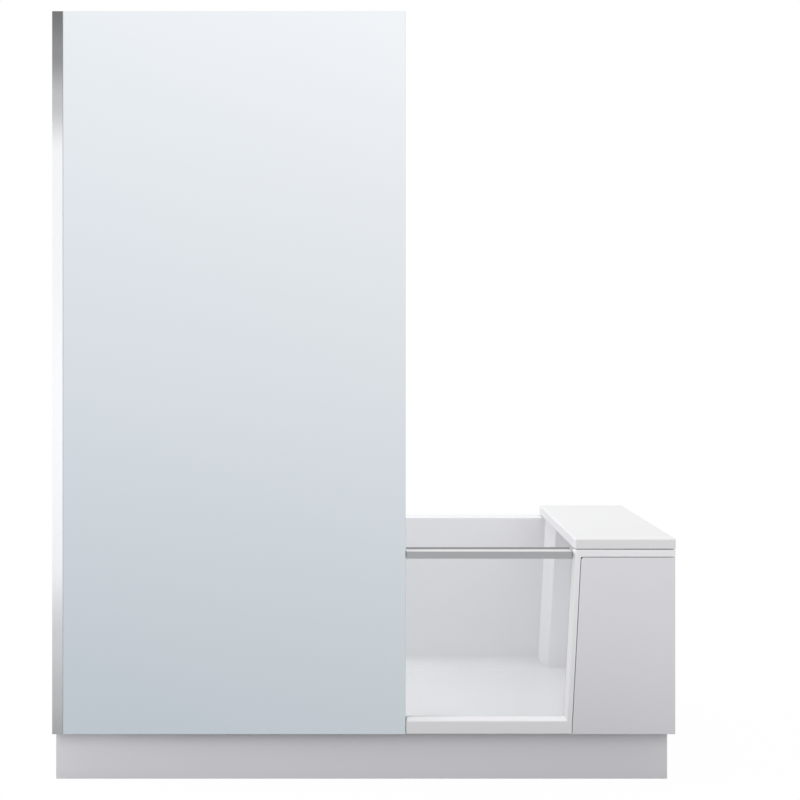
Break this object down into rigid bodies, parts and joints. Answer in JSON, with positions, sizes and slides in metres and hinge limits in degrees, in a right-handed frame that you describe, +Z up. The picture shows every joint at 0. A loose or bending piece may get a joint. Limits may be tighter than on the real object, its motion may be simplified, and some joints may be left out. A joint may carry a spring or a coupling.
{
  "type": "walk-in bathtub with door",
  "caption": "Walk-in bath and shower tub with a low glass door that swings inward, a tall fixed mirrored glass screen, a lift-off end cover and a lever waste.",
  "frame": {"origin": "on the floor, at the middle of the tub's length and depth", "axes": "+X along the tub from the wall profile to the free end, +Y from the front face to the back wall, +Z up"},
  "size_m": [1.7, 0.75, 2.105],
  "materials": {
    "tub_plastic": "white moulded sanitary plastic, glossy",
    "panel_white": "white panel, semi-gloss",
    "cover_white": "thick white slab with softly rounded edges, semi-gloss",
    "plinth_board": "pale grey board, satin",
    "board": "pressed board glued under the basin",
    "zinc_steel": "zinc-coated steel tube, dull spangle",
    "fastener_steel": "turned steel",
    "hinge_metal": "satin stainless steel",
    "dark_plastic": "black moulded plastic",
    "grey_plastic": "mid grey moulded plastic",
    "magnet": "dark plated magnet",
    "mirrored_glass": "pale blue-grey reflective coated glass, opaque",
    "clear_glass": "clear safety glass, polished edges",
    "bright_aluminium": "polished anodised aluminium",
    "satin_aluminium": "satin anodised aluminium",
    "clear_seal": "translucent soft seal",
    "dark_rubber": "black rubber",
    "chrome_trim": "polished chrome",
    "waste_plastic": "white pipe plastic",
    "cable_cover": "black cable sheath"
  },
  "bodies": {
    "tub": {"tub_shell": "tub_plastic", "base_board": "board", "frame_rails": "zinc_steel", "cross_members": "zinc_steel", "frame_uprights": "zinc_steel", "foot_bolts": "fastener_steel", "foot_pads": "dark_plastic", "foot_nuts": "fastener_steel", "plinth_front": "plinth_board", "plinth_side": "plinth_board", "plinth_clips": "dark_plastic", "side_panel": "panel_white", "panel_brackets": "zinc_steel", "panel_magnets": "magnet", "tall_glass": "mirrored_glass", "wall_profile": "bright_aluminium", "profile_cover": "bright_aluminium", "profile_cap": "grey_plastic", "glass_edge_seal": "clear_seal", "glass_clamps": "grey_plastic", "glass_brackets": "zinc_steel", "door_post": "satin_aluminium", "post_screws": "fastener_steel", "hinge_brackets": "hinge_metal", "hinge_pins": "fastener_steel", "door_gasket": "clear_seal", "latch_strike": "hinge_metal", "peg_bushes": "grey_plastic", "waste_flange": "chrome_trim", "flange_seal": "dark_rubber", "waste_body": "waste_plastic", "trap_cup": "waste_plastic", "waste_pipe": "waste_plastic", "overflow_body": "waste_plastic", "overflow_pipe": "waste_plastic", "bowden_cable": "cable_cover"},
    "door": {"door_glass": "clear_glass", "door_stile": "satin_aluminium", "door_rail": "satin_aluminium", "rail_end_caps": "grey_plastic", "bolt_guide": "grey_plastic"},
    "latch_handle": {"latch_lever": "satin_aluminium", "latch_crank": "hinge_metal"},
    "bolt": {"latch_bolt": "fastener_steel"},
    "end_cover": {"cover_slab": "cover_white", "cover_pegs": "fastener_steel", "cover_pads": "dark_rubber"},
    "service_panel": {"front_panel": "panel_white", "panel_keepers": "fastener_steel"},
    "overflow_control": {"overflow_knob": "chrome_trim", "knob_spindle": "grey_plastic"},
    "plug": {"drain_plug": "chrome_trim", "plug_seal": "dark_rubber"}
  },
  "joints": [
    {"name": "door_hinge", "type": "hinge", "parent": "tub", "child": "door", "pos_m": [0.092, -0.34, 0.4], "axis": [0, 0, 1], "range_deg": [0, 95]},
    {"name": "latch_turn", "type": "hinge", "parent": "door", "child": "latch_handle", "pos_m": [0.53885, -0.334, 0.623], "axis": [0, -1, 0], "range_deg": [0, 90]},
    {"name": "bolt_slide", "type": "slide", "parent": "door", "child": "bolt", "axis": [1, 0, 0], "range_m": [0, 0.0079]},
    {"name": "cover_lift", "type": "slide", "parent": "tub", "child": "end_cover", "axis": [0, 0, 1], "range_m": [0, 0.04]},
    {"name": "panel_pull", "type": "slide", "parent": "tub", "child": "service_panel", "axis": [0, -1, 0], "range_m": [0, 0.04]},
    {"name": "overflow_turn", "type": "hinge", "parent": "tub", "child": "overflow_control", "pos_m": [-0.05, 0.3, 0.56], "axis": [0, -1, 0], "range_deg": [0, 120]},
    {"name": "plug_lift", "type": "slide", "parent": "tub", "child": "plug", "axis": [0, 0, 1], "range_m": [0, 0.0151]}
  ],
  "couplings": [
    {"joint": "bolt_slide", "follows": "latch_turn", "m_per_rad": 0.0049518},
    {"joint": "plug_lift", "follows": "overflow_turn", "m_per_rad": 0.007162}
  ]
}
